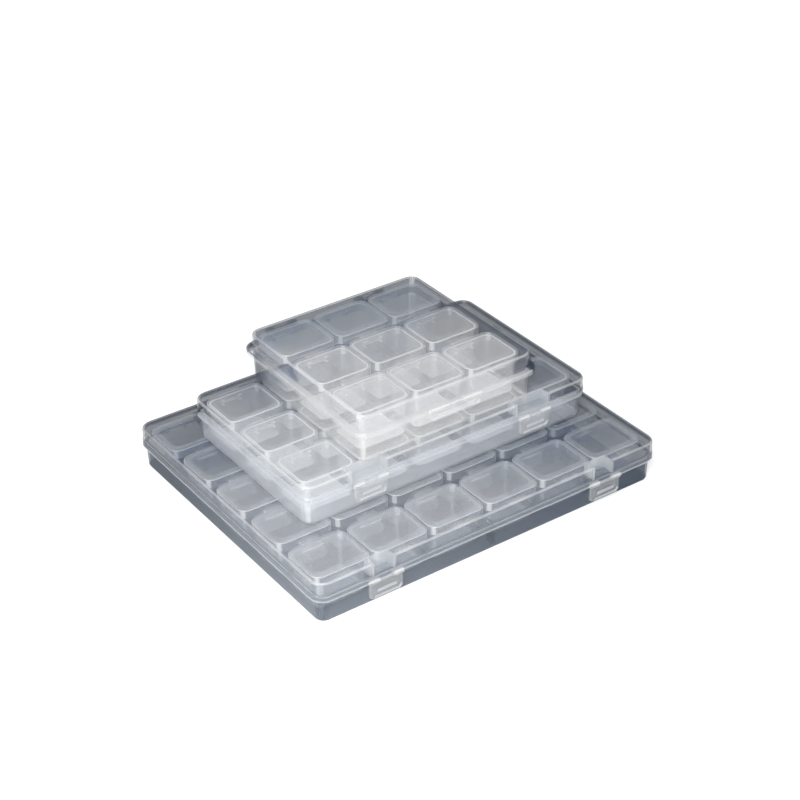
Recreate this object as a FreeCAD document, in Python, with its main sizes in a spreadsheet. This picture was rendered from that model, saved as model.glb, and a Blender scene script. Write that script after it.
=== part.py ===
import FreeCAD, Part
import math
import os
import Sketcher
from FreeCAD import Vector

# A stack of three clear organizer cases of 6 x 5, 5 x 3 and 3 x 3 small cups with flip lids.
# Millimetres. X runs along the latch side, Y from the latches to the hinges, Z up.
# The origin is the middle of the underside of the bottom case.

doc = FreeCAD.newDocument("compartment_organizer")
sheet = doc.addObject("Spreadsheet::Sheet", "dims")

# Driving dimensions shared by the three cases
SHARED_SIZES = {
    # grid of cups
    "cup_pitch_wide": 34.0,
    "cup_pitch_deep": 33.0,
    "cap_gap_side": 0.4,
    "cap_gap_front": 4.4,
    "cap_gap_rear": 1.0,
    # cup
    "cup_wall": 0.9,
    "cup_floor": 0.9,
    "cup_draft": 1.5,
    "cup_foot_round": 2.4,
    "rim_gap": 0.15,
    # flip lid of a cup
    "cap_corner": 5.5,
    "cap_tall": 5.0,
    "cap_panel": 0.9,
    "cap_skirt": 0.8,
    "cap_fit": 0.45,
    "cap_edge_round": 0.8,
    "panel_inset": 3.2,
    "panel_sink": 0.35,
    "lip_wide": 11.0,
    "lip_reach": 3.2,
    "lip_thick": 1.1,
    "lip_drop": 2.0,
    "lip_corner": 1.6,
    # hinge of a cup
    "cap_axis_back": 0.2,
    "cap_axis_drop": 0.3,
    "cap_pin_radius": 0.6,
    "cap_bead_radius": 0.95,
    "cap_bead_wide": 8.0,
    "cap_tab_tall": 2.4,
    "ear_gap": 0.2,
    "ear_thick": 1.8,
    "ear_radius": 1.4,
    "ear_room": 0.4,
    "pin_clearance": 0.05,
    "pin_end_gap": 0.2,
    # case
    "side_gap": 0.4,
    "front_gap": 0.5,
    "rear_gap": 1.1,
    "head_gap": 0.8,
    "floor_thick": 1.3,
    "wall_thick": 1.2,
    "case_corner": 4.4,
    "base_draft": 2.0,
    "foot_round": 1.5,
    "rim_thick": 1.4,
    "rim_edge_round": 0.5,
    "stand_tall": 1.2,
    "edge_lip_tall": 1.0,
    "edge_lip_thick": 0.9,
    "edge_lip_fit": 0.3,
    "rib_thick": 1.4,
    "rib_deep": 4.6,
    # case lid
    "lid_wall": 1.1,
    "lid_top": 1.2,
    "lid_edge_round": 1.6,
    # hinge of a case
    "case_axis_back": 3.2,
    "case_pin_radius": 1.5,
    "lug_radius": 2.6,
    "lug_thick": 4.0,
    "lug_gap": 0.3,
    "lug_below_rim": 0.2,
    "arm_wide": 9.0,
    "arm_radius": 2.4,
    "arm_thick": 2.4,
    "arm_room": 0.3,
    # latch
    "latch_axis_out": 1.7,
    "latch_pin_radius": 0.8,
    "latch_pin_reach": 3.0,
    "latch_knuckle": 1.4,
    "latch_gap": 0.3,
    "latch_plate": 1.5,
    "latch_corner": 2.4,
    "latch_edge_round": 0.4,
    "latch_ridge": 1.0,
    "latch_bar_tall": 1.6,
    "latch_bar_proud": 0.6,
    "latch_bar_inset": 4.0,
    "latch_bar_share": 0.55,
    "pivot_wide": 8.0,
    "pivot_radius": 1.2,
    "pivot_arm": 0.9,
    "pivot_gap": 0.3,
}

# Driving dimensions of each case
CASE_SIZES = {
    "bottom": {
        "case_tall": 24.0,
        "rim_low": 12.6,
        "rim_reach": 1.9,
        "lid_reach": 1.6,
        "lid_rim_tall": 2.4,
        "axis_drop": 1.2,
        "hinge_span": 120.0,
        "latch_wide": 19.0,
        "latch_drop": 7.6,
        "latch_axis_up": 1.3,
        "notch_wide": 11.0,
        "notch_deep": 6.0,
        "shift_x": 0.0,
        "shift_y": 0.0,
    },
    "middle": {
        "case_tall": 23.4,
        "rim_low": 13.0,
        "rim_reach": 1.9,
        "lid_reach": 1.6,
        "lid_rim_tall": 2.4,
        "axis_drop": 1.2,
        "hinge_span": 96.0,
        "latch_wide": 19.0,
        "latch_drop": 7.2,
        "latch_axis_up": 1.3,
        "notch_wide": 19.6,
        "notch_deep": 6.0,
        "shift_x": 3.0,
        "shift_y": 7.6,
    },
    "top": {
        "case_tall": 27.0,
        "rim_low": 15.6,
        "rim_reach": 3.4,
        "lid_reach": 0.1,
        "lid_rim_tall": 1.4,
        "axis_drop": -0.2,
        "hinge_span": 56.0,
        "latch_wide": 31.0,
        "latch_drop": 2.4,
        "latch_axis_up": 2.4,
        "shift_x": 2.0,
        "shift_y": 7.8,
    },
}

# Columns and rows of cups in each case, and which case the next one stands on
COLUMNS = {"bottom": 6, "middle": 5, "top": 3}
ROWS = {"bottom": 5, "middle": 3, "top": 3}
STACK = ["bottom", "middle", "top"]

# How closely an edge has to lie to a level and an outline to belong to them, in mm
EDGE_TOLERANCE = 0.02


def fill_sheet():
    """Writes every driving dimension to a cell that has the dimension's name."""
    sizes = dict(SHARED_SIZES)
    for case, values in CASE_SIZES.items():
        for name, number in values.items():
            sizes[case + "_" + name] = number
    for line, (name, number) in enumerate(sizes.items(), start=1):
        sheet.set("A%d" % line, name)
        sheet.set("B%d" % line, str(number))
        sheet.setAlias("B%d" % line, name)
    doc.recompute()


def cell(name):
    """The expression that reads one cell."""
    return "dims." + name


def value(expression):
    """The number that an expression gives."""
    return float(sheet.evalExpression(expression))


fill_sheet()

# Sizes worked out from the cells, as expressions
CAP_WIDE = "(dims.cup_pitch_wide - 2 * dims.cap_gap_side)"
CAP_DEEP = "(dims.cup_pitch_deep - dims.cap_gap_front - dims.cap_gap_rear)"
CAP_MID = "((dims.cap_gap_front - dims.cap_gap_rear) / 2)"
CUP_INSET = "(dims.cap_skirt + dims.cap_fit)"
CUP_WIDE = "(%s - 2 * %s)" % (CAP_WIDE, CUP_INSET)
CUP_DEEP = "(%s - 2 * %s)" % (CAP_DEEP, CUP_INSET)
CUP_CORNER = "(dims.cap_corner - %s)" % CUP_INSET
CAP_AXIS_Y = "(%s / 2 + dims.cap_axis_back)" % CAP_DEEP
EAR_OUT = "(dims.cap_bead_wide / 2 + dims.ear_gap + dims.ear_thick)"
GRID_MID = "((dims.front_gap - dims.rear_gap) / 2)"


class CaseSizes:
    """The expressions of one case's sizes and places."""

    def __init__(self, case):
        self.case = case
        self.columns = COLUMNS[case]
        self.rows = ROWS[case]
        self.has_edge_lip = case == "top"
        self.has_notches = case != "top"
        self.cavity_wide = "(%d * dims.cup_pitch_wide + 2 * dims.side_gap)" % self.columns
        self.cavity_deep = "(%d * dims.cup_pitch_deep + dims.front_gap + dims.rear_gap)" % self.rows
        self.base_wide = "(%s + 2 * dims.wall_thick)" % self.cavity_wide
        self.base_deep = "(%s + 2 * dims.wall_thick)" % self.cavity_deep
        self.base_corner = "(dims.case_corner + dims.wall_thick)"
        self.rim_top = "(%s + dims.rim_thick)" % self.own("rim_low")
        self.lid_tall = "(%s - %s)" % (self.own("case_tall"), self.rim_top)
        self.lid_deep = "(%s + 2 * %s)" % (self.base_deep, self.own("lid_reach"))
        self.rim_edge = "(%s / 2 + %s)" % (self.base_deep, self.own("rim_reach"))
        self.axis_y = "(%s + dims.case_axis_back)" % self.rim_edge
        self.latch_y = "(-%s - dims.latch_axis_out)" % self.rim_edge
        self.latch_z = "(%s + %s)" % (self.rim_top, self.own("latch_axis_up"))
        over_cup = "(dims.lid_top + dims.head_gap + dims.cap_panel + dims.rim_gap)"
        self.cup_tall = "(%s - %s - dims.floor_thick)" % (self.own("case_tall"), over_cup)
        below = STACK[:STACK.index(case)]
        self.stand_z = "(%s)" % " + ".join(["0"] + [cell(name + "_case_tall") for name in below])

    def own(self, name):
        """The expression of one of this case's own cells."""
        return cell(self.case + "_" + name)

    def latch_places(self):
        """Where the latches' middles are along the front: between the outer columns, or in the middle."""
        if self.case == "top":
            return {"": "0"}
        reach = "(%d / 2 - 1) * dims.cup_pitch_wide" % self.columns
        return {"_left": "(-%s)" % reach, "_right": "(%s)" % reach}


# Sketch and feature helpers
def origin_plane(body, role):
    return next(item for item in body.Origin.OriginFeatures if item.Role == role)


def new_sketch(body, name, role="XY_Plane", offset="0"):
    """A sketch on one of the body's own planes, moved along the plane's normal."""
    sketch = body.newObject("Sketcher::SketchObject", name)
    sketch.AttachmentSupport = (origin_plane(body, role), [""])
    sketch.MapMode = "FlatFace"
    sketch.setExpression("AttachmentOffset.Base.z", offset)
    return sketch


def bind(sketch, constraint, name, expression):
    """Adds a dimension to a sketch and ties it to an expression."""
    index = sketch.addConstraint(constraint)
    sketch.renameConstraint(index, name)
    sketch.setExpression("Constraints." + name, expression)


def rounded_rectangle(sketch, wide, deep, corner, middle="0"):
    """A rectangle with round corners, centred on the sketch's own axis and moved along its second one."""
    half_wide = value(wide) / 2
    half_deep = value(deep) / 2
    radius = value(corner)
    mid = value(middle)
    flat = half_wide - radius
    rise = half_deep - radius
    up = Vector(0, 0, 1)
    sides = [
        (Vector(-flat, mid - half_deep), Vector(flat, mid - half_deep)),
        (Vector(half_wide, mid - rise), Vector(half_wide, mid + rise)),
        (Vector(flat, mid + half_deep), Vector(-flat, mid + half_deep)),
        (Vector(-half_wide, mid + rise), Vector(-half_wide, mid - rise)),
    ]
    for start, end in sides:
        sketch.addGeometry(Part.LineSegment(start, end))
    quarter = math.pi / 2
    centres = [(flat, -rise), (flat, rise), (-flat, rise), (-flat, -rise)]
    for turn, (x, y) in enumerate(centres):
        circle = Part.Circle(Vector(x, mid + y), up, radius)
        sketch.addGeometry(Part.ArcOfCircle(circle, (turn - 1) * quarter, turn * quarter))
    for side in range(4):
        arc = 4 + side
        sketch.addConstraint(Sketcher.Constraint("Tangent", side, 2, arc, 1))
        sketch.addConstraint(Sketcher.Constraint("Tangent", arc, 2, (side + 1) % 4, 1))
        direction = "Horizontal" if side % 2 == 0 else "Vertical"
        sketch.addConstraint(Sketcher.Constraint(direction, side))
    for arc in (5, 6, 7):
        sketch.addConstraint(Sketcher.Constraint("Equal", 4, arc))
    bind(sketch, Sketcher.Constraint("Radius", 4, radius), "corner", corner)
    to_arc = "%s / 2 - %s" % (wide, corner)
    bind(sketch, Sketcher.Constraint("DistanceX", 7, 3, -1, 1, flat), "left", to_arc)
    bind(sketch, Sketcher.Constraint("DistanceX", -1, 1, 5, 3, flat), "right", to_arc)
    bind(sketch, Sketcher.Constraint("DistanceY", 7, 3, -1, 1, rise - mid), "near",
         "%s / 2 - %s - %s" % (deep, corner, middle))
    bind(sketch, Sketcher.Constraint("DistanceY", -1, 1, 5, 3, rise + mid), "far",
         "%s / 2 - %s + %s" % (deep, corner, middle))


def rectangle(sketch, left, right, low, high):
    """A plain rectangle between four places on the sketch's axes."""
    x0, x1, y0, y1 = [value(place) for place in (left, right, low, high)]
    corners = [Vector(x0, y0), Vector(x1, y0), Vector(x1, y1), Vector(x0, y1)]
    for side in range(4):
        sketch.addGeometry(Part.LineSegment(corners[side], corners[(side + 1) % 4]))
    for side in range(4):
        sketch.addConstraint(Sketcher.Constraint("Coincident", side, 2, (side + 1) % 4, 1))
        direction = "Horizontal" if side % 2 == 0 else "Vertical"
        sketch.addConstraint(Sketcher.Constraint(direction, side))
    bind(sketch, Sketcher.Constraint("DistanceX", -1, 1, 0, 1, x0), "left", left)
    bind(sketch, Sketcher.Constraint("DistanceY", -1, 1, 0, 1, y0), "low", low)
    bind(sketch, Sketcher.Constraint("DistanceX", -1, 1, 2, 1, x1), "right", right)
    bind(sketch, Sketcher.Constraint("DistanceY", -1, 1, 2, 1, y1), "high", high)


def round_section(sketch, across, up, radius):
    """A circle round one point of the sketch."""
    centre = Vector(value(across), value(up))
    sketch.addGeometry(Part.Circle(centre, Vector(0, 0, 1), value(radius)))
    bind(sketch, Sketcher.Constraint("Radius", 0, value(radius)), "round", radius)
    bind(sketch, Sketcher.Constraint("DistanceX", -1, 1, 0, 3, centre.x), "across", across)
    bind(sketch, Sketcher.Constraint("DistanceY", -1, 1, 0, 3, centre.y), "up", up)


def extrude(body, kind, sketch, length, reverse=False, symmetric=False, draft=None):
    """A Pad or a Pocket of a sketch."""
    feature = body.newObject("PartDesign::" + kind, kind.lower() + "_" + sketch.Name)
    feature.Profile = sketch
    feature.Reversed = reverse
    if symmetric:
        feature.SideType = "Symmetric"
    feature.setExpression("Length", length)
    if draft:
        feature.setExpression("TaperAngle", draft)
    return feature


def cross_bar(body, name, middle, wide, draw, kind="Pad"):
    """A Pad or a Pocket along X of a section in the YZ plane, centred at one X."""
    sketch = new_sketch(body, name, "YZ_Plane", middle)
    draw(sketch)
    return extrude(body, kind, sketch, wide, symmetric=True)


def outline_distance(across, along, half_wide, half_deep, radius):
    """How far a point is outside a rectangle with round corners, or inside it as a negative number."""
    past_side = abs(across) - (half_wide - radius)
    past_end = abs(along) - (half_deep - radius)
    outside = math.hypot(max(past_side, 0), max(past_end, 0))
    inside = min(max(past_side, past_end), 0)
    return outside + inside - radius


def round_edges(body, name, radius, level, outline, middle="0", upright=False):
    """Rounds the closed run of edges that lies at one level on an outline of a width, depth and corner."""
    doc.recompute()
    base = body.Tip
    wide, deep, corner = [value(size) for size in outline]
    height = value(level)
    shift = value(middle)
    names = []
    for number, edge in enumerate(base.Shape.Edges, start=1):
        ends = [edge.FirstParameter, (edge.FirstParameter + edge.LastParameter) / 2, edge.LastParameter]
        points = [edge.valueAt(place) for place in ends]
        if upright:
            points = [Vector(point.x, point.z, point.y) for point in points]
        if max(abs(point.z - height) for point in points) > EDGE_TOLERANCE:
            continue
        gaps = [outline_distance(point.x, point.y - shift, wide / 2, deep / 2, corner) for point in points]
        if max(abs(gap) for gap in gaps) < EDGE_TOLERANCE:
            names.append("Edge%d" % number)
    if not names:
        raise RuntimeError("%s found no edge" % name)
    fillet = body.newObject("PartDesign::Fillet", name)
    fillet.Base = (base, names)
    fillet.setExpression("Radius", radius)
    return fillet


def drawn_in(outline, slope):
    """An outline moved inwards on all sides, as a sloping wall does."""
    wide, deep, corner = outline
    return ["(%s - 2 * %s)" % (wide, slope), "(%s - 2 * %s)" % (deep, slope), "(%s - %s)" % (corner, slope)]


def make_cup(case):
    """An open cup with slightly sloping walls, a round foot and two hinge ears at its rear."""
    sizes = CaseSizes(case)
    body = doc.addObject("PartDesign::Body", case + "_cup_pattern")
    top = sizes.cup_tall
    draft = "-dims.cup_draft"
    outline = [CUP_WIDE, CUP_DEEP, CUP_CORNER]
    wall = new_sketch(body, case + "_cup_outline", offset=top)
    rounded_rectangle(wall, *outline)
    extrude(body, "Pad", wall, top, reverse=True, draft=draft)
    slope = "(%s * tan(dims.cup_draft * 1 deg))" % top
    round_edges(body, case + "_cup_foot", "dims.cup_foot_round", "0", drawn_in(outline, slope))
    mouth = new_sketch(body, case + "_cup_mouth", offset=top)
    rounded_rectangle(mouth, *drawn_in(outline, "dims.cup_wall"))
    extrude(body, "Pocket", mouth, "%s - dims.cup_floor" % top, draft=draft)
    axis_z = "(%s + dims.rim_gap + dims.cap_panel - dims.cap_tall - dims.cap_axis_drop)" % top
    ear_x = "(%s - dims.ear_thick / 2)" % EAR_OUT
    wall_middle = "(%s / 2 - dims.cup_wall / 2)" % CUP_DEEP
    for side, sign in (("left", "-"), ("right", "")):
        cross_bar(body, "%s_ear_root_%s" % (case, side), sign + ear_x, "dims.ear_thick",
                  lambda sketch: rectangle(sketch, wall_middle, CAP_AXIS_Y, "%s - dims.ear_radius" % axis_z,
                                           "%s + dims.ear_radius" % axis_z))
        cross_bar(body, "%s_ear_%s" % (case, side), sign + ear_x, "dims.ear_thick",
                  lambda sketch: round_section(sketch, CAP_AXIS_Y, axis_z, "dims.ear_radius"))
    bore_radius = "dims.cap_pin_radius + dims.pin_clearance"
    cross_bar(body, case + "_ear_bore", "0", "2 * %s + dims.ear_thick" % EAR_OUT,
              lambda sketch: round_section(sketch, CAP_AXIS_Y, axis_z, bore_radius), kind="Pocket")
    return body


def make_cap():
    """The flip lid of a cup: a shallow cover with a sunk panel, a finger lip and a pin at its rear."""
    body = doc.addObject("PartDesign::Body", "cap_pattern")
    outline = [CAP_WIDE, CAP_DEEP, "dims.cap_corner"]
    cover = new_sketch(body, "cap_outline")
    rounded_rectangle(cover, *outline)
    extrude(body, "Pad", cover, "dims.cap_tall")
    round_edges(body, "cap_edge", "dims.cap_edge_round", "dims.cap_tall", outline)
    lip_deep = "(2 * dims.lip_reach)"
    lip = new_sketch(body, "cap_lip", offset="dims.cap_tall - dims.lip_drop - dims.lip_thick")
    rounded_rectangle(lip, "dims.lip_wide", lip_deep, "dims.lip_corner", "(-%s / 2)" % CAP_DEEP)
    extrude(body, "Pad", lip, "dims.lip_thick")
    hollow = new_sketch(body, "cap_hollow")
    rounded_rectangle(hollow, *drawn_in(outline, "dims.cap_skirt"))
    extrude(body, "Pocket", hollow, "dims.cap_tall - dims.cap_panel", reverse=True)
    panel = new_sketch(body, "cap_sunk_panel", offset="dims.cap_tall")
    rounded_rectangle(panel, "(%s - 2 * dims.panel_inset)" % CAP_WIDE,
                      "(%s - 2 * dims.panel_inset)" % CAP_DEEP, "(dims.cap_corner - dims.panel_inset / 2)")
    extrude(body, "Pocket", panel, "dims.panel_sink")
    rear = "(%s / 2)" % CAP_DEEP
    room = "(%s + dims.ear_room)" % EAR_OUT
    gap = new_sketch(body, "cap_ear_gap")
    skirt_inside = "%s - dims.cap_skirt - dims.cap_fit / 2" % rear
    rectangle(gap, "-" + room, room, skirt_inside, "%s + dims.cap_skirt" % rear)
    extrude(body, "Pocket", gap, "dims.ear_radius - dims.cap_axis_drop + dims.ear_room", reverse=True)
    axis_z = "-dims.cap_axis_drop"
    cross_bar(body, "cap_tab", "0", "dims.cap_bead_wide",
              lambda sketch: rectangle(sketch, "%s - dims.cap_skirt" % rear, CAP_AXIS_Y, axis_z,
                                       "dims.cap_tab_tall"))
    cross_bar(body, "cap_bead", "0", "dims.cap_bead_wide",
              lambda sketch: round_section(sketch, CAP_AXIS_Y, axis_z, "dims.cap_bead_radius"))
    cross_bar(body, "cap_pin", "0", "2 * (%s - dims.pin_end_gap)" % EAR_OUT,
              lambda sketch: round_section(sketch, CAP_AXIS_Y, axis_z, "dims.cap_pin_radius"))
    return body


def hinge_places(sizes):
    """The X of the two hinges of a case."""
    return {"left": "(-%s / 2)" % sizes.own("hinge_span"), "right": "(%s / 2)" % sizes.own("hinge_span")}


def make_base(case):
    """The tray of a case: sloping walls, a rim all round, and hinge lugs at its rear."""
    sizes = CaseSizes(case)
    body = doc.addObject("PartDesign::Body", case + "_base")
    rim_low = sizes.own("rim_low")
    outline = [sizes.base_wide, sizes.base_deep, sizes.base_corner]
    tub = new_sketch(body, case + "_tub", offset=rim_low)
    rounded_rectangle(tub, *outline)
    extrude(body, "Pad", tub, rim_low, reverse=True, draft="-dims.base_draft")
    slope = "(%s * tan(dims.base_draft * 1 deg))" % rim_low
    round_edges(body, case + "_foot", "dims.foot_round", "0", drawn_in(outline, slope))
    rim_outline = drawn_in(outline, "(-%s)" % sizes.own("rim_reach"))
    rim = new_sketch(body, case + "_rim", offset=rim_low)
    rounded_rectangle(rim, *rim_outline)
    if sizes.has_edge_lip:
        mouth_top = "(%s + dims.edge_lip_tall)" % sizes.rim_top
        extrude(body, "Pad", rim, "dims.rim_thick + dims.edge_lip_tall")
        round_edges(body, case + "_rim_under_edge", "dims.rim_edge_round", rim_low, rim_outline)
        seat = new_sketch(body, case + "_lid_seat", offset=mouth_top)
        rounded_rectangle(seat, *drawn_in(rim_outline, "dims.edge_lip_thick"))
        extrude(body, "Pocket", seat, "dims.edge_lip_tall")
    else:
        mouth_top = "(%s + dims.stand_tall)" % sizes.rim_top
        extrude(body, "Pad", rim, "dims.rim_thick")
        round_edges(body, case + "_rim_under_edge", "dims.rim_edge_round", rim_low, rim_outline)
        stand = new_sketch(body, case + "_stand", offset=sizes.rim_top)
        rounded_rectangle(stand, *outline)
        extrude(body, "Pad", stand, "dims.stand_tall")
    mouth = new_sketch(body, case + "_mouth", offset=mouth_top)
    rounded_rectangle(mouth, sizes.cavity_wide, sizes.cavity_deep, "dims.case_corner")
    extrude(body, "Pocket", mouth, "%s - dims.floor_thick" % mouth_top)
    if case == "bottom":
        front = "(-%s / 2)" % sizes.cavity_deep
        rib = new_sketch(body, case + "_front_rib", offset="dims.floor_thick")
        rectangle(rib, "-dims.rib_thick / 2", "dims.rib_thick / 2", "%s - dims.wall_thick / 2" % front,
                  "%s + dims.rib_deep" % front)
        extrude(body, "Pad", rib, "%s - dims.floor_thick" % sizes.rim_top)
    axis_z = "(%s - %s)" % (sizes.rim_top, sizes.own("axis_drop"))
    wall_middle = "(%s / 2 - dims.wall_thick / 2)" % sizes.base_deep
    lug_step = "(dims.arm_wide / 2 + dims.lug_gap + dims.lug_thick / 2)"
    for hinge, middle in hinge_places(sizes).items():
        for side, sign in (("near", "-"), ("far", "+")):
            place = "%s %s %s" % (middle, sign, lug_step)
            label = "%s_%s_%s" % (case, hinge, side)
            cross_bar(body, label + "_lug_root", place, "dims.lug_thick",
                      lambda sketch: rectangle(sketch, wall_middle, sizes.axis_y,
                                               "%s - dims.lug_radius" % axis_z,
                                               "%s - dims.lug_below_rim" % sizes.rim_top))
            cross_bar(body, label + "_lug", place, "dims.lug_thick",
                      lambda sketch: round_section(sketch, sizes.axis_y, axis_z, "dims.lug_radius"))
        cross_bar(body, "%s_%s_bore" % (case, hinge), middle, "2 * %s + 2 * dims.lug_thick" % lug_step,
                  lambda sketch: round_section(sketch, sizes.axis_y, axis_z,
                                               "dims.case_pin_radius + dims.pin_clearance"), kind="Pocket")
    place_body(body, sizes, "0")
    return body


def make_lid(case):
    """The lid of a case: a flat-topped cover with a rim, latch recesses, pivots and hinge pins."""
    sizes = CaseSizes(case)
    body = doc.addObject("PartDesign::Body", case + "_lid")
    lid_reach = sizes.own("lid_reach")
    outline = drawn_in([sizes.base_wide, sizes.base_deep, sizes.base_corner], "(-%s)" % lid_reach)
    cover = new_sketch(body, case + "_lid_outline")
    rounded_rectangle(cover, *outline)
    extrude(body, "Pad", cover, sizes.lid_tall)
    round_edges(body, case + "_lid_edge", "dims.lid_edge_round", sizes.lid_tall, outline)
    proud = "(%s - %s)" % (sizes.own("rim_reach"), lid_reach)
    if sizes.has_edge_lip:
        proud = "(%s - dims.edge_lip_thick - dims.edge_lip_fit)" % proud
    rim_outline = drawn_in(outline, "(-%s)" % proud)
    rim = new_sketch(body, case + "_lid_rim")
    rounded_rectangle(rim, *rim_outline)
    extrude(body, "Pad", rim, sizes.own("lid_rim_tall"))
    if sizes.has_edge_lip:
        rim_tall = sizes.own("lid_rim_tall")
        round_edges(body, case + "_lid_rim_edge", "dims.rim_edge_round", rim_tall, rim_outline)
    hollow = new_sketch(body, case + "_lid_hollow")
    rounded_rectangle(hollow, *drawn_in(outline, "dims.lid_wall"))
    extrude(body, "Pocket", hollow, "%s - dims.lid_top" % sizes.lid_tall, reverse=True)
    if sizes.has_notches:
        for side, middle in sizes.latch_places().items():
            add_latch_recess(body, sizes, side, middle)
    for side, middle in sizes.latch_places().items():
        add_latch_pivot(body, sizes, side, middle)
    for hinge, middle in hinge_places(sizes).items():
        add_lid_arm(body, sizes, hinge, middle)
    place_body(body, sizes, sizes.rim_top)
    return body


def add_latch_recess(body, sizes, side, middle):
    """A recess in the lid's front wall above a latch, with walls of its own."""
    front = "(-%s / 2)" % sizes.lid_deep
    half = "(%s / 2)" % sizes.own("notch_wide")
    deep = sizes.own("notch_deep")
    rim_tall = sizes.own("lid_rim_tall")
    label = sizes.case + "_recess" + side
    walls = new_sketch(body, label + "_walls", offset="%s - dims.lid_top" % rim_tall)
    rectangle(walls, "%s - %s - dims.lid_wall" % (middle, half), "%s + %s + dims.lid_wall" % (middle, half),
              "%s + dims.lid_wall / 2" % front, "%s + %s + dims.lid_wall" % (front, deep))
    extrude(body, "Pad", walls, "%s - %s + dims.lid_top / 2" % (sizes.lid_tall, rim_tall))
    room = new_sketch(body, label, offset=sizes.lid_tall)
    rectangle(room, "%s - %s" % (middle, half), "%s + %s" % (middle, half), "%s - %s" % (front, deep),
              "%s + %s" % (front, deep))
    extrude(body, "Pocket", room, "%s - %s" % (sizes.lid_tall, rim_tall))


def add_latch_pivot(body, sizes, side, middle):
    """The lug and pin on the lid's front rim that a latch turns on."""
    axis_z = sizes.own("latch_axis_up")
    label = sizes.case + "_pivot" + side
    wall = "(-%s / 2 + dims.lid_wall / 2)" % sizes.lid_deep
    cross_bar(body, label + "_arm", middle, "dims.pivot_wide",
              lambda sketch: rectangle(sketch, sizes.latch_y, wall, "%s - dims.pivot_arm" % axis_z,
                                       "%s + dims.pivot_arm" % axis_z))
    cross_bar(body, label + "_lug", middle, "dims.pivot_wide",
              lambda sketch: round_section(sketch, sizes.latch_y, axis_z, "dims.pivot_radius"))
    cross_bar(body, label + "_pin", middle, "dims.pivot_wide + 2 * dims.latch_pin_reach",
              lambda sketch: round_section(sketch, sizes.latch_y, axis_z, "dims.latch_pin_radius"))


def add_lid_arm(body, sizes, hinge, middle):
    """An arm at the lid's rear that carries its hinge pin."""
    axis_z = "(-%s)" % sizes.own("axis_drop")
    label = "%s_%s" % (sizes.case, hinge)
    low = "dims.arm_room"
    if sizes.has_edge_lip:
        low = "(dims.edge_lip_tall + dims.arm_room)"
    wall = "(%s / 2 - dims.lid_wall / 2)" % sizes.lid_deep
    cross_bar(body, label + "_arm_root", middle, "dims.arm_wide",
              lambda sketch: rectangle(sketch, wall, sizes.axis_y, low, "%s + dims.arm_thick" % low))
    cross_bar(body, label + "_arm_end", middle, "dims.arm_wide",
              lambda sketch: round_section(sketch, sizes.axis_y, axis_z, "dims.arm_radius"))
    cross_bar(body, label + "_pin", middle,
              "dims.arm_wide + 2 * (dims.lug_gap + dims.lug_thick - dims.pin_end_gap)",
              lambda sketch: round_section(sketch, sizes.axis_y, axis_z, "dims.case_pin_radius"))


def make_latch(case):
    """A latch about its own pin: two knuckles, a plate with a raised bar and a finger ridge."""
    sizes = CaseSizes(case)
    body = doc.addObject("PartDesign::Body", case + "_latch_pattern")
    wide = sizes.own("latch_wide")
    tall = "(%s + dims.rim_thick + %s)" % (sizes.own("latch_axis_up"), sizes.own("latch_drop"))
    inner = "(dims.latch_axis_out - dims.latch_gap)"
    outer = "(%s - dims.latch_plate)" % inner
    plate = new_sketch(body, case + "_latch_plate", "XZ_Plane", "-" + inner)
    outline = [wide, tall, "dims.latch_corner"]
    middle = "(-%s / 2)" % tall
    rounded_rectangle(plate, *outline, middle)
    extrude(body, "Pad", plate, "dims.latch_plate")
    round_edges(body, case + "_latch_edge", "dims.latch_edge_round", outer, outline, middle, upright=True)
    cross_bar(body, case + "_latch_knuckle", "0", wide,
              lambda sketch: round_section(sketch, "0", "0", "dims.latch_knuckle"))
    ridge_z = "-%s + dims.latch_ridge" % tall
    cross_bar(body, case + "_latch_ridge", "0", "%s - 2 * dims.latch_corner" % wide,
              lambda sketch: round_section(sketch, outer, ridge_z, "dims.latch_ridge"))
    bar_z = "(-%s * dims.latch_bar_share)" % tall
    half_bar = "(%s / 2 - dims.latch_bar_inset)" % wide
    bar = new_sketch(body, case + "_latch_bar", "XZ_Plane", "-" + inner)
    rectangle(bar, "-" + half_bar, half_bar, "%s - dims.latch_bar_tall / 2" % bar_z,
              "%s + dims.latch_bar_tall / 2" % bar_z)
    extrude(body, "Pad", bar, "dims.latch_plate + dims.latch_bar_proud")
    half_gap = "(dims.pivot_wide / 2 + dims.pivot_gap)"
    through = "(4 * (dims.latch_knuckle + dims.latch_plate))"
    gap = new_sketch(body, case + "_latch_gap", "XZ_Plane")
    rectangle(gap, "-" + half_gap, half_gap, "-dims.pivot_radius - dims.latch_gap", "2 * dims.latch_knuckle")
    extrude(body, "Pocket", gap, through, symmetric=True)
    cross_bar(body, case + "_latch_bore", "0", "2 * %s" % wide,
              lambda sketch: round_section(sketch, "0", "0", "dims.latch_pin_radius + dims.pin_clearance"),
              kind="Pocket")
    return body


# Placing the pieces
def place(item, across, along, up):
    """Ties an object's place to three expressions."""
    item.setExpression("Placement.Base.x", across)
    item.setExpression("Placement.Base.y", along)
    item.setExpression("Placement.Base.z", up)


def place_body(item, sizes, up):
    place(item, sizes.own("shift_x"), sizes.own("shift_y"), "%s + %s" % (sizes.stand_z, up))


def copy_of(pattern, label, across, along, up):
    """One placed copy of a piece that repeats."""
    link = doc.addObject("App::Link", label)
    link.LinkedObject = pattern
    link.Label = label
    place(link, across, along, up)
    return link


def grid_place(sizes, column, row):
    """The place of one cup's middle in its case."""
    across = "%s + (%d - %d / 2) * dims.cup_pitch_wide" % (sizes.own("shift_x"), column, sizes.columns - 1)
    along = "%s + %s + %s + (%d - %d / 2) * dims.cup_pitch_deep" % (
        sizes.own("shift_y"), GRID_MID, CAP_MID, row, sizes.rows - 1)
    return across, along


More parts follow.
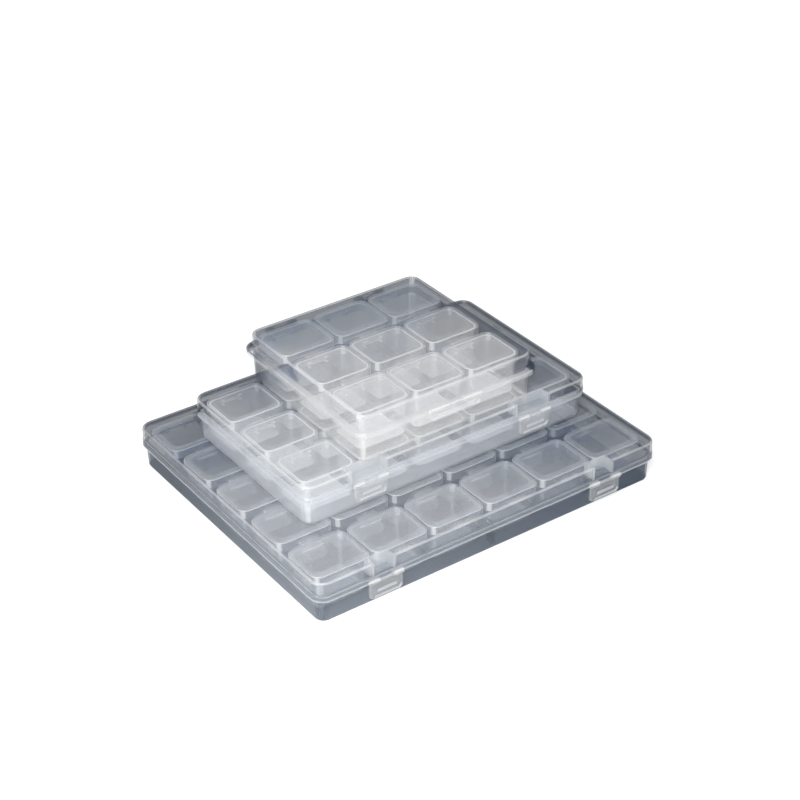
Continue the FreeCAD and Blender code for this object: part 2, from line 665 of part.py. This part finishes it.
def make_latches(case):
    sizes = CaseSizes(case)
    pattern = make_latch(case)
    nodes = []
    for side, middle in sizes.latch_places().items():
        nodes.append(copy_of(pattern, case + "_latch" + side, "%s + %s" % (sizes.own("shift_x"), middle),
                             "%s + %s" % (sizes.own("shift_y"), sizes.latch_y),
                             "%s + %s" % (sizes.stand_z, sizes.latch_z)))
    return nodes


def make_cups(case, cap):
    """The cups and flip lids of a case: one node per row, or per cup in the small case."""
    sizes = CaseSizes(case)
    cup = make_cup(case)
    cup_z = "%s + dims.floor_thick" % sizes.stand_z
    cap_z = "%s + %s + dims.rim_gap + dims.cap_panel - dims.cap_tall" % (cup_z, sizes.cup_tall)
    nodes = []
    for row in range(sizes.rows):
        for kind, pattern, level in (("cup", cup, cup_z), ("cup_lid", cap, cap_z)):
            copies = []
            for column in range(sizes.columns):
                across, along = grid_place(sizes, column, row)
                label = "%s_%s_row%d_%d" % (case, kind, row + 1, column + 1)
                copies.append(copy_of(pattern, label, across, along, level))
            if case == "top":
                nodes.extend(copies)
                continue
            group = doc.addObject("Part::Compound", "%s_%ss_row%d" % (case, kind, row + 1))
            group.Links = copies
            nodes.append(group)
    return nodes


def check_document():
    """Stops if any object failed, or if a pocket cut nothing."""
    for item in doc.Objects:
        if "Invalid" in item.State or "Error" in item.State:
            raise RuntimeError("%s is %s" % (item.Name, item.State))
        if item.TypeId == "PartDesign::Pocket":
            if item.Shape.Volume >= item.BaseFeature.Shape.Volume - 1e-6:
                raise RuntimeError("%s cuts nothing" % item.Name)


def write_nodes(nodes):
    """Writes each sub-part under its own label."""
    os.makedirs("parts", exist_ok=True)
    for node in nodes:
        shape = Part.getShape(node)
        if shape.isNull() or not shape.isValid() or not shape.Solids:
            raise RuntimeError("%s has no valid solid" % node.Label)
    solids = 0
    for node in nodes:
        shape = Part.getShape(node)
        shape.exportStep("parts/%s.step" % node.Label)
        solids += len(shape.Solids)
    print("wrote", len(nodes), "sub-parts,", solids, "solids")


cap_pattern = make_cap()
all_nodes = []
for case_name in STACK:
    all_nodes.append(make_base(case_name))
    all_nodes.append(make_lid(case_name))
    all_nodes.extend(make_latches(case_name))
    all_nodes.extend(make_cups(case_name, cap_pattern))
doc.recompute()
check_document()
write_nodes(all_nodes)
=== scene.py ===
# %% [markdown]
# # A stack of three clear organizer cases
# Three moulded cases of different sizes stand on each other. Each one has a hinged lid with snap latches
# and is filled with small cups, and every cup has a flip lid of its own. All the shapes come from the CAD
# model, which is loaded here as a fixed frame. So this lesson is about the hardest part of the look:
# thin, hazy, see-through plastic.

# %% Load the CAD model
import bpy
import math
from mathutils import Euler, Matrix, Vector


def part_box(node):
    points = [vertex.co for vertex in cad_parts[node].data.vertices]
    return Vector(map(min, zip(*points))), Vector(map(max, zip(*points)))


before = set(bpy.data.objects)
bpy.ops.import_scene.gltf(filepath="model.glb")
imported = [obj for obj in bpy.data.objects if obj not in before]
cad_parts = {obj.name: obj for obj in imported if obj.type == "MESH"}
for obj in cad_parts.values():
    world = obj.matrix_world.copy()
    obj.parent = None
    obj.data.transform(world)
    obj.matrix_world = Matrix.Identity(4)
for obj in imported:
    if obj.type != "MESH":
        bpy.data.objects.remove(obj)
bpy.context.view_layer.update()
MM = 0.001
CASES = ("bottom", "middle", "top")
bpy.ops.object.select_all(action="DESELECT")

# %% [markdown]
# ## Smooth faces and crisp edges
# A moulded part is smooth on its rounds and has clear edges where two faces meet. The CAD meshes are
# shaded flat, so each one gets shading that is smooth up to an angle. That changes no vertex, only how
# light is drawn.

# %% Shade the CAD nodes
SMOOTH_ANGLE = math.radians(32)
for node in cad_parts.values():
    node.select_set(True)
bpy.context.view_layer.objects.active = next(iter(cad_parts.values()))
bpy.ops.object.shade_smooth_by_angle(angle=SMOOTH_ANGLE)
bpy.ops.object.select_all(action="DESELECT")
print("shaded", len(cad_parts), "nodes")

# %% [markdown]
# ## Helpers for materials
# Colours are picked as sRGB hex values, as in a paint program, and turned to the linear values that the
# renderer works with. One small function adds a node, sets its values and links its inputs. The others
# are short forms of it for the kinds of node that are used most, so a material reads as a list.


# %% Colour and node helpers
def linear(hex_colour):
    """An sRGB hex colour as linear red, green, blue and alpha."""
    channels = [int(hex_colour[place:place + 2], 16) / 255 for place in (1, 3, 5)]
    return [c / 12.92 if c <= 0.04045 else ((c + 0.055) / 1.055) ** 2.4 for c in channels] + [1.0]


def add_node(material, kind, inputs=None, **settings):
    """Adds a shader node with its settings; an input is a value or another node's socket."""
    node = material.node_tree.nodes.new(kind)
    for name, setting in settings.items():
        setattr(node, name, setting)
    for name, source in (inputs or {}).items():
        if isinstance(source, bpy.types.NodeSocket):
            material.node_tree.links.new(source, node.inputs[name])
        else:
            node.inputs[name].default_value = source
    return node


def maths(material, operation, *values):
    """One step of arithmetic."""
    return add_node(material, "ShaderNodeMath", dict(enumerate(values)), operation=operation).outputs[0]


def ramp(material, value, ends, low, high):
    """Goes from low to high as the value goes from the first end to the second."""
    start, end = ends
    node = add_node(material, "ShaderNodeMapRange",
                    {"Value": value, "From Min": start, "From Max": end, "To Min": low, "To Max": high})
    return node.outputs["Result"]


def mix_colours(material, share, first, second):
    """A share of the second colour in the first."""
    node = add_node(material, "ShaderNodeMix", {"Factor": share, "A": first, "B": second}, data_type="RGBA")
    return node.outputs["Result"]


def mix_shaders(material, share, first, second):
    """A share of the second shader in the first."""
    return add_node(material, "ShaderNodeMixShader", {0: share, 1: first, 2: second}).outputs[0]


def new_material(name):
    """A material with no nodes yet."""
    material = bpy.data.materials.new(name)
    material.use_nodes = True
    material.node_tree.nodes.clear()
    return material


print("white is", linear("#FFFFFF"))

# %% [markdown]
# ## Clear polypropylene, injection moulded
# Clear polypropylene is never as clear as glass: it scatters a little light inside, so every layer adds a
# pale haze to what is behind it. Where a wall is seen edge-on, the path through the plastic is longer and
# the haze thicker. Rounded edges get a thicker haze, partly for the longer path and partly as a painted
# highlight, and upright corners get a thin line of haze that is a painted highlight, which draws bright
# lines along every edge. Volume scattering in hundreds of walls about a millimetre thick would be slow and
# noisy. Here each face reflects a little, scatters a little and lets the rest straight through, which adds
# up through the layers in the same way. The cases also get painted shade: a darker, bluer tint that
# deepens from the latch corner on the left to the hinges.

# %% How the plastic behaves
UNIT = (0.0, 1.0)
FLOW_MARK_SIZE = 12 * MM
FLOW_MARK_HEIGHT = 0.01 * MM
POLYPROPYLENE_IOR = 1.49
# How far the flow marks shift the edge of the painted shade
SHADE_DRIFT = 40 * MM
# How deep a face may lie from the height of a contact
CONTACT_DEEP = 0.05 * MM
# The share of scattered light that goes on through the wall
ONWARD_SHARE = 0.35
# Where a face counts as an upright corner, which gets a thin painted highlight line, by the product of its
# normal's X and Y
CORNER_HIGHLIGHT_ENDS = (0.4, 0.49)
# Where a face turns from upright to level, by its normal's Z
LEVEL_ENDS = (0.3, 0.95)
# Rounded edges lean between the two, and their haze is partly a painted highlight: the Z of their middle, and
# how far from it they fade in
ROUND_LEAN = 0.6
ROUND_ENDS = (0.38, 0.25)
# Where a wall counts as seen edge-on
EDGE_ON_BLEND = 0.5
EDGE_ON_ENDS = (0.7, 1.0)


def painted_shade_depth(material, place, way, start, end):
    """How deep the painted shade is at a point, from 0 at its start to 1 at its end, and the flow marks."""
    flow = add_node(material, "ShaderNodeTexNoise",
                    {"Vector": place.outputs["Object"], "Scale": 1 / FLOW_MARK_SIZE, "Detail": 1.0})
    along = add_node(material, "ShaderNodeVectorMath", {0: place.outputs["Object"], 1: way},
                     operation="DOT_PRODUCT")
    drift = maths(material, "MULTIPLY_ADD", flow.outputs["Fac"], SHADE_DRIFT, along.outputs["Value"])
    ends = (start * MM + SHADE_DRIFT / 2, end * MM + SHADE_DRIFT / 2)
    # The painted shade: 0 at the lit end, 1 at the shaded end
    shade_depth = ramp(material, drift, ends, 0.0, 1.0)
    bump = add_node(material, "ShaderNodeBump", {"Height": flow.outputs["Fac"], "Distance": FLOW_MARK_HEIGHT})
    return shade_depth, bump.outputs["Normal"]


def face_haze(material, place, shade_depth, pale_haze, shaded_haze):
    """How much a face scatters, if flat, upright, a corner (a painted highlight) or an edge (partly one), at
    the lit and the shaded end of the painted shade.
    """
    both_ends = zip(pale_haze, shaded_haze)
    flat, wall, corner, edge = [ramp(material, shade_depth, UNIT, low, high) for low, high in both_ends]
    normal = add_node(material, "ShaderNodeSeparateXYZ", {"Vector": place.outputs["Normal"]})
    upward = maths(material, "ABSOLUTE", normal.outputs["Z"])
    slant = maths(material, "ABSOLUTE", maths(material, "MULTIPLY", normal.outputs["X"], normal.outputs["Y"]))
    # Upright corners get a thin line of painted highlight
    upright = ramp(material, slant, CORNER_HIGHLIGHT_ENDS, wall, corner)
    level = ramp(material, upward, LEVEL_ENDS, upright, flat)
    # Rounded edges get haze that is partly a painted highlight
    lean = maths(material, "ABSOLUTE", maths(material, "SUBTRACT", upward, ROUND_LEAN))
    rounded = ramp(material, lean, ROUND_ENDS, level, edge)
    edge_on = add_node(material, "ShaderNodeLayerWeight", {"Blend": EDGE_ON_BLEND})
    return ramp(material, edge_on.outputs["Facing"], EDGE_ON_ENDS, rounded, edge)


def inside_ends(material, point, ends):
    """1 inside the low and high ends on each axis that is given, 0 outside."""
    inside = 1.0
    for axis, (low, high) in ends.items():
        within = maths(material, "COMPARE", point.outputs[axis], (low + high) / 2, (high - low) / 2)
        inside = maths(material, "MULTIPLY", inside, within)
    return inside


def polypropylene(name, colours, pale_haze, shaded_haze, shade_range, roughness, bands, contacts=()):
    """Moulded clear plastic with its colours at the lit and the shaded end of the painted shade, and its haze
    by kind of face, as in face_haze.

    Bands are places with a haze and a colour of their own, such as a rim: the low and high end on each axis
    that bounds the band, its haze and its colour. Contacts are the heights of faces that lie on another piece;
    they are left clear, as two faces in one place can't be told apart.
    """
    material = new_material(name)
    place = add_node(material, "ShaderNodeTexCoord")
    shade_depth, bump = painted_shade_depth(material, place, *shade_range)
    pale, shaded_colour = colours
    colour = mix_colours(material, shade_depth, linear(pale), linear(shaded_colour))
    haze = face_haze(material, place, shade_depth, pale_haze, shaded_haze)
    point = add_node(material, "ShaderNodeSeparateXYZ", {"Vector": place.outputs["Object"]})
    for ends, band_haze, band_colour in bands:
        inside = inside_ends(material, point, ends)
        mix = add_node(material, "ShaderNodeMix", {"Factor": inside, "A": haze, "B": band_haze})
        haze = mix.outputs["Result"]
        colour = mix_colours(material, inside, colour, linear(band_colour))
    # Only the outer side of a face reflects; from inside it would act as a full mirror
    side = add_node(material, "ShaderNodeNewGeometry")
    outer = maths(material, "SUBTRACT", 1.0, side.outputs["Backfacing"])
    fresnel = add_node(material, "ShaderNodeFresnel", {"IOR": POLYPROPYLENE_IOR, "Normal": bump})
    mirror = maths(material, "MULTIPLY", fresnel.outputs[0], outer)
    through = add_node(material, "ShaderNodeBsdfTransparent").outputs[0]
    shine = add_node(material, "ShaderNodeBsdfGlossy", {"Roughness": roughness, "Normal": bump}).outputs[0]
    clear = mix_shaders(material, mirror, through, shine)
    facing = add_node(material, "ShaderNodeBsdfDiffuse", {"Color": colour}).outputs[0]
    behind = add_node(material, "ShaderNodeBsdfTranslucent", {"Color": colour}).outputs[0]
    cloud = mix_shaders(material, ONWARD_SHARE, facing, behind)
    surface = mix_shaders(material, haze, clear, cloud)
    for height in contacts:
        touching = maths(material, "COMPARE", point.outputs["Z"], height, CONTACT_DEEP)
        surface = mix_shaders(material, touching, surface, through)
    add_node(material, "ShaderNodeOutputMaterial", {"Surface": surface})
    return material


print("plastic with index", POLYPROPYLENE_IOR)

# %% [markdown]
# ## Bands of the mouldings
# Some places of a moulding look different from the rest: thick rims and borders are paler, the walls of
# the latch recesses and the bars of the latches get a painted highlight, and the right and rear walls,
# which are seen through the whole case, get painted shade. Each band is a box in the piece's own
# coordinates, so it moves with the piece.

# %% Sizes of the bands
RIM_COLOUR = "#E9ECEF"
# The dark slate of the painted shade on the far walls, also used for the rib
SLATE = "#4C596B"
FLOOR_THICK = 1.3 * MM
RIM_TOP = {"bottom": 14.0 * MM, "middle": 38.4 * MM, "top": 64.4 * MM}
RIM_THICK = 1.4 * MM
RIM_HAZE = {"bottom": 0.32, "middle": 0.32, "top": 0.2}
LID_RIM = 2.4 * MM
LID_RIM_HAZE = 0.1
# The right and rear walls, in the middle of their thickness
RIGHT_WALL = {"bottom": 104.5 * MM, "middle": 90.5 * MM, "top": 55.5 * MM}
REAR_WALL = {"bottom": 85.0 * MM, "middle": 59.6 * MM, "top": 60.5 * MM}
FAR_WALL_DEEP = 2.6 * MM
# The haze of the painted shade on the far walls of trays and lids
TRAY_FAR_SHADE = 0.6
LID_FAR_SHADE = 0.58
# A height that no piece reaches
WELL_ABOVE = 1.0
# The recesses of the lids above the latches: the latches' middles, half the width and the depth
LATCHES = {"bottom": (-68.0 * MM, 68.0 * MM), "middle": (-48.0 * MM, 54.0 * MM), "top": ()}
RECESS_HALF = {"bottom": 7.1 * MM, "middle": 11.4 * MM}
RECESS_DEEP = 8.0 * MM
# The painted highlight on the walls of the recesses
RECESS_HIGHLIGHT = 0.3
FRONT_EDGE = {"bottom": -86.4 * MM, "middle": -45.8 * MM}
LID_TOP = {"bottom": 24.0 * MM, "middle": 47.4 * MM}
# The rib behind the bottom case's front wall
RIB_HALF = 0.8 * MM
RIB_FROM = 3.2 * MM
RIB_DEEP = 5.0 * MM
RIB_HAZE = 0.5
# Half the depth of a band that holds one face
FACE_DEEP = 0.25 * MM
BORDER_HAZE = 0.26
# How far the bar of a latch lies behind the front of its knuckles
BAR_BACK = 0.7 * MM
# The painted highlight on the bars of the latches
BAR_HIGHLIGHT = 0.45
print("bands measured for", len(CASES), "cases")


# %% Bands of each kind of piece
def foot(case):
    """The height of a case's underside."""
    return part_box(case + "_base")[0][2]


def around(middle, reach):
    """The low and high end of a band."""
    return (middle - reach, middle + reach)


def shaded_far_walls(case, haze):
    """Painted shade on the right and rear walls of a case, above its floor."""
    above_floor = foot(case) + FLOOR_THICK + CONTACT_DEEP
    heights = (above_floor, above_floor + WELL_ABOVE)
    right = around(RIGHT_WALL[case], FAR_WALL_DEEP)
    rear = around(REAR_WALL[case], FAR_WALL_DEEP)
    return [({"X": right, "Z": heights}, haze, SLATE), ({"Y": rear, "Z": heights}, haze, SLATE)]


def recess_highlights(case):
    """A painted highlight on the walls of the recesses in a lid."""
    walls = []
    for middle in LATCHES[case]:
        across = around(middle, RECESS_HALF[case])
        front_to_back = (FRONT_EDGE[case], FRONT_EDGE[case] + RECESS_DEEP)
        heights = (RIM_TOP[case] + LID_RIM, LID_TOP[case] - FACE_DEEP)
        walls.append(({"X": across, "Y": front_to_back, "Z": heights}, RECESS_HIGHLIGHT, RIM_COLOUR))
    return walls


def front_rib(case):
    """The dark rib behind the middle of the bottom case's front wall."""
    if case != "bottom":
        return []
    front_to_back = (FRONT_EDGE[case] + RIB_FROM, FRONT_EDGE[case] + RIB_FROM + RIB_DEEP)
    heights = (FLOOR_THICK + CONTACT_DEEP, RIM_TOP[case] - RIM_THICK)
    return [({"X": (-RIB_HALF, RIB_HALF), "Y": front_to_back, "Z": heights}, RIB_HAZE, SLATE)]


def tray_bands(case):
    """The rim, the painted shade on the far walls and the rib of a tray."""
    rim = ({"Z": (RIM_TOP[case] - RIM_THICK, RIM_TOP[case])}, RIM_HAZE[case], RIM_COLOUR)
    return [rim] + shaded_far_walls(case, TRAY_FAR_SHADE) + front_rib(case)


def lid_bands(case):
    """The rim, the painted shade on the far walls and the painted highlights on the recesses of a case lid."""
    rim = ({"Z": (RIM_TOP[case], RIM_TOP[case] + LID_RIM)}, LID_RIM_HAZE, RIM_COLOUR)
    return [rim] + shaded_far_walls(case, LID_FAR_SHADE) + recess_highlights(case)


def border(case):
    """The raised border of the flip lids."""
    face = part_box(case + ("_cup_lid_row1_1" if case == "top" else "_cup_lids_row1"))[1][2]
    return [({"Z": around(face, FACE_DEEP)}, BORDER_HAZE, RIM_COLOUR)]


def latch_bar_highlight(case):
    """A painted highlight on the raised bar of the latches."""
    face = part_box(case + ("_latch" if case == "top" else "_latch_left"))[0][1] + BAR_BACK
    return [({"Y": around(face, FACE_DEEP)}, BAR_HIGHLIGHT, RIM_COLOUR)]


def tray_contacts(case):
    """The heights of a tray's underside, where it stands on a lid, and of its floor, where the cups stand."""
    floor_top = foot(case) + FLOOR_THICK
    return [floor_top] if case == "bottom" else [foot(case), floor_top]


print("tray bands:", [len(tray_bands(case)) for case in CASES])
print("lid bands:", [len(lid_bands(case)) for case in CASES])

# %% [markdown]
# ## Finishes
# Every kind of piece is the same plastic with other colours and another haze. Four values say how hazy
# its flat, upright, corner and edge faces are, first at the lit end of the painted shade and then at its
# shaded end; the corner values and part of the edge values are a painted highlight. The bottom tray's
# floor is dark and lets nothing through: painted shade that makes the dark ground of the whole picture.

# %% Tones
# Each gradient of painted shade is the way it runs, and where it starts and ends along it in mm
ACROSS = (1.0, 1.5, 0.0)
BACK = (0.2, 1.5, 0.0)
TRAY_SHADE_GRADIENT = {"bottom": (ACROSS, -200, -20), "middle": (ACROSS, 0, 80), "top": (BACK, 35, 70)}
SHADE_GRADIENT = {"bottom": (ACROSS, -80, 15), "middle": (ACROSS, -10, 60), "top": (BACK, 25, 60)}
# The bottom tray carries painted shade: its floor is dark and opaque
TRAY_NAMES = {"bottom": "smoky_case_tray", "middle": "hazy_case_tray", "top": "milky_case_tray"}
# The colour of each tray at the lit end and at the shaded end of the painted shade
TRAY_COLOURS = {
    "bottom": ("#868E98", "#48586C"),
    "middle": ("#F2F5FA", "#5C6878"),
    "top": ("#F6F6F4", "#667282"),
}
TRAY_PALE = {
    "bottom": (1.0, 0.04, 0.4, 0.9),
    "middle": (0.3, 0.27, 0.5, 0.4),
    "top": (0.3, 0.18, 0.4, 0.25),
}
# The haze of each tray at the shaded end of the painted shade
TRAY_SHADED = {
    "bottom": (1.0, 0.3, 0.5, 1.0),
    "middle": (0.4, 0.3, 0.5, 0.5),
    "top": (0.4, 0.3, 0.5, 0.5),
}
TRAY_ROUGHNESS = 0.15
# The colour of the cups at the lit end and at the shaded end of the painted shade
CUP_COLOURS = {
    "bottom": ("#E2EAF6", "#5F82B4"),
    "middle": ("#F8FAFD", "#8AA0C2"),
    "top": ("#F8F9FA", "#8AA0C2"),
}
CUP_PALE = {
    "bottom": (0.28, 0.05, 0.2, 0.25),
    "middle": (0.9, 0.12, 0.2, 0.25),
    "top": (0.85, 0.12, 0.2, 0.25),
}
# The haze of the cups at the shaded end of the painted shade
CUP_SHADED = {
    "bottom": (0.2, 0.05, 0.12, 0.25),
    "middle": (0.6, 0.05, 0.12, 0.25),
    "top": (0.6, 0.05, 0.12, 0.25),
}
CUP_ROUGHNESS = 0.12
FLIP_LID_PALE = {
    "bottom": (0.16, 0.05, 0.45, 0.6),
    "middle": (0.14, 0.05, 0.45, 0.6),
    "top": (0.17, 0.05, 0.45, 0.6),
}
# The haze of the flip lids at the shaded end of the painted shade
FLIP_LID_SHADED = {
    "bottom": (0.06, 0.1, 0.3, 0.5),
    "middle": (0.1, 0.1, 0.3, 0.5),
    "top": (0.18, 0.1, 0.3, 0.5),
}
# Lids and latches: the haze at the lit end, then at the shaded end of the painted shade
LID_PALE = (0.05, 0.03, 0.16, 0.38)
LID_SHADED = (0.04, 0.05, 0.16, 0.38)
LATCH_PALE = (0.12, 0.12, 0.4, 0.5)
LATCH_SHADED = (0.1, 0.1, 0.4, 0.5)
LID_ROUGHNESS = 0.1
print("tones for", len(TRAY_NAMES), "cases")


# %% Finishes of the pieces
def tray(case):
    """The tray of a case."""
    return polypropylene(TRAY_NAMES[case], TRAY_COLOURS[case], TRAY_PALE[case], TRAY_SHADED[case],
                         TRAY_SHADE_GRADIENT[case], TRAY_ROUGHNESS, tray_bands(case), tray_contacts(case))


def case_lid(case):
    """The lid of a case."""
    # The second colour is the shaded end of the painted shade
    return polypropylene(case + "_case_lid", ("#F2F3F4", "#C9CED4"), LID_PALE, LID_SHADED, SHADE_GRADIENT[case],
                         LID_ROUGHNESS, lid_bands(case))


def cup(case):
    """The cups of a case, with undersides that stand on its tray."""
    return polypropylene(case + "_cup", CUP_COLOURS[case], CUP_PALE[case], CUP_SHADED[case], SHADE_GRADIENT[case],
                         CUP_ROUGHNESS, [], [foot(case) + FLOOR_THICK])


def flip_lid(case):
    """The flip lids of the cups."""
    # The second colour is the shaded end of the painted shade
    return polypropylene(case + "_flip_lid", ("#F6F7F7", "#CCD6E2"), FLIP_LID_PALE[case],
                         FLIP_LID_SHADED[case], SHADE_GRADIENT[case], LID_ROUGHNESS, border(case))


def latch(case):
    """The latches of a case."""
    # The second colour is the shaded end of the painted shade
    return polypropylene(case + "_latch", ("#F6F6F3", "#D8DBDD"), LATCH_PALE, LATCH_SHADED, SHADE_GRADIENT[case],
                         LID_ROUGHNESS, latch_bar_highlight(case))


FINISHES = {}
for case in CASES:
    FINISHES[case + "_base"] = tray(case)
    FINISHES[case + "_lid"] = case_lid(case)
    FINISHES[case + "_cup"] = cup(case)
    FINISHES[case + "_cup_lid"] = flip_lid(case)
    FINISHES[case + "_latch"] = latch(case)


def finish_of(node_name):
    """The finish of a CAD node, by what its name says it is."""
    case = node_name.split("_")[0]
    for kind in ("_cup_lid", "_cup", "_latch"):
        if kind in node_name:
            return FINISHES[case + kind]
    return FINISHES[node_name]


for node_name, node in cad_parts.items():
    node.data.materials.clear()
    node.data.materials.append(finish_of(node_name))
print("finishes:", len(FINISHES), "on", len(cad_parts), "nodes")

# %% [markdown]
# ## Floor and background
# The picture has a plain white ground. A large pale floor catches the soft shadow, and a little light of
# its own, seen only by the camera, in reflections and through clear pieces, lifts it to white. Further
# out the floor's own light grows, so that no horizon shows. The world is white to the camera too.

# %% Floor
FLOOR_SIZE = 12.0
# Just under the part, as two faces in one place can't be told apart
FLOOR_HEIGHT = -0.2 * MM
NEAR_LIGHT = 0.4
FAR_LIGHT = 1.0
LIGHT_ENDS = (0.4, 1.2)


def white_paper():
    """A pale sheet with some light of its own, more of it further out."""
    paper = new_material("white_paper")
    ray = add_node(paper, "ShaderNodeLightPath")
    seen = maths(paper, "MAXIMUM", ray.outputs["Is Camera Ray"], ray.outputs["Is Glossy Ray"])
    seen = maths(paper, "MAXIMUM", seen, ray.outputs["Is Transmission Ray"])
    spot = add_node(paper, "ShaderNodeTexCoord")
    distance = add_node(paper, "ShaderNodeVectorMath", {0: spot.outputs["Object"]}, operation="LENGTH")
    own_light = ramp(paper, distance.outputs["Value"], LIGHT_ENDS, NEAR_LIGHT, FAR_LIGHT)
    lift = maths(paper, "MULTIPLY", seen, own_light)
    sheet = add_node(paper, "ShaderNodeBsdfDiffuse", {"Color": linear("#F2F2F2")})
    glow = add_node(paper, "ShaderNodeEmission", {"Color": linear("#FFFFFF"), "Strength": lift})
    both = add_node(paper, "ShaderNodeAddShader", {0: sheet.outputs[0], 1: glow.outputs[0]})
    add_node(paper, "ShaderNodeOutputMaterial", {"Surface": both.outputs[0]})
    return paper


bpy.ops.mesh.primitive_plane_add(size=FLOOR_SIZE, location=(0, 0, FLOOR_HEIGHT))
floor = bpy.context.active_object
floor.name = "studio_floor"
floor.data.materials.append(white_paper())
print("floor is", FLOOR_SIZE, "m wide")

# %% World
WORLD_LIGHT = 0.35
WHITE = 1.0
world = bpy.data.worlds.new("studio_world")
bpy.context.scene.world = world
world.use_nodes = True
world.node_tree.nodes.clear()
ray = add_node(world, "ShaderNodeLightPath")
seen = maths(world, "MAXIMUM", ray.outputs["Is Camera Ray"], ray.outputs["Is Transmission Ray"])
strength = ramp(world, seen, UNIT, WORLD_LIGHT, WHITE)
sky = add_node(world, "ShaderNodeBackground", {"Color": linear("#FFFFFF"), "Strength": strength})
add_node(world, "ShaderNodeOutputWorld", {"Surface": sky.outputs[0]})
print("world light", WORLD_LIGHT)

# %% [markdown]
# ## Soft studio light
# Two panels give the soft highlights on the rims: a large one above and to the left, and a small one low
# in front. Their light and the world's add up to about one on a level white sheet, so colours come out
# about as written.

# %% Lights
OBJECT_MIDDLE = (0.0, 0.0, 0.04)
KEY_PLACE = (-1.6, -1.4, 2.4)
KEY_SIZE = 1.6
KEY_POWER = 60.0
CORNER_PLACE = (-0.32, -0.45, 0.4)
CORNER_TARGET = (-0.05, -0.05, 0.04)
CORNER_SIZE = 0.3
CORNER_POWER = 2.2


def soft_panel(name, place, target, size, power):
    """A square light that faces a point."""
    lamp = bpy.data.lights.new(name, "AREA")
    lamp.size = size
    lamp.energy = power
    panel = bpy.data.objects.new(name, lamp)
    panel.location = place
    way = Vector(target) - panel.location
    panel.rotation_euler = way.to_track_quat("-Z", "Y").to_euler()
    bpy.context.scene.collection.objects.link(panel)


soft_panel("key_panel", KEY_PLACE, OBJECT_MIDDLE, KEY_SIZE, KEY_POWER)
soft_panel("corner_panel", CORNER_PLACE, CORNER_TARGET, CORNER_SIZE, CORNER_POWER)
print("lights placed")

# %% [markdown]
# ## Camera
# The photo looks down on the front left corner. The camera's place was worked out from the corners of the
# cases in the photo, as one perspective fit with a square frame. A line of sight goes through many clear
# walls, so the renderer is told to follow it through all of them.

# %% Camera
CAMERA_PLACE = (-0.4761, -0.6774, 0.5641)
YAW = math.radians(35.27)
DOWN = math.radians(32.15)
ROLL = math.radians(-0.48)
SENSOR_WIDTH = 36.0
FOCAL_LENGTH = 85.49
CLEAR_LAYERS = 48
lens = bpy.data.cameras.new("photo_camera")
lens.sensor_width = SENSOR_WIDTH
lens.lens = FOCAL_LENGTH
camera = bpy.data.objects.new("photo_camera", lens)
camera.location = CAMERA_PLACE
aim = Euler((math.pi / 2 - DOWN, 0, -YAW)).to_matrix() @ Matrix.Rotation(ROLL, 3, "Z")
camera.rotation_euler = aim.to_euler()
bpy.context.scene.collection.objects.link(camera)
bpy.context.scene.camera = camera
bpy.context.scene.view_settings.view_transform = "Standard"
bpy.context.scene.cycles.transparent_max_bounces = CLEAR_LAYERS
print("camera at", list(camera.location))
